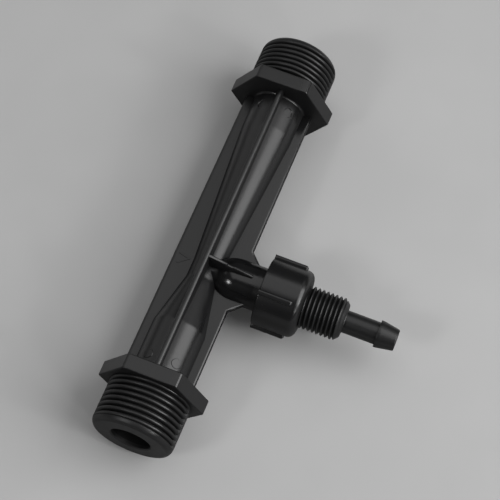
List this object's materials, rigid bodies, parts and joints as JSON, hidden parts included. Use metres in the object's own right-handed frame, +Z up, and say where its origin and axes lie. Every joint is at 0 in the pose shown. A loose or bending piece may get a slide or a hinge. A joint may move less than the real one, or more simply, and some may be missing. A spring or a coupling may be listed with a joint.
{
  "type": "venturi fertilizer injector",
  "caption": "Inline venturi injector with male pipe threads, hexagon flanges, a ribbed tube that narrows to a throat, and a side suction branch with a screw cap, threaded spigot and hose barb.",
  "frame": {"origin": "on the flow axis, at the outer face of the inlet hexagon, where the inlet thread starts", "axes": "+X along the flow from inlet to outlet, -Y along the suction branch, +Z up with the hexagons lying on their flats"},
  "size_m": [0.1453, 0.0811, 0.03],
  "materials": {
    "body_plastic": "black moulded polypropylene, satin",
    "cap_plastic": "black moulded polypropylene, satin",
    "seal_rubber": "black soft rubber",
    "ball_plastic": "white polished plastic",
    "spring_steel": "drawn stainless wire"
  },
  "bodies": {
    "injector": {"injector_body": "body_plastic", "suction_cap": "cap_plastic", "cap_seal": "seal_rubber", "check_spring": "spring_steel"},
    "valve_ball": {"check_ball": "ball_plastic"}
  },
  "joints": [
    {"name": "ball_lift", "type": "slide", "parent": "injector", "child": "valve_ball", "axis": [0, 1, 0], "range_m": [0, 0.0137], "stiffness_N_per_m": 75, "springref_m": -0.0015, "deforming": ["check_spring"]}
  ]
}
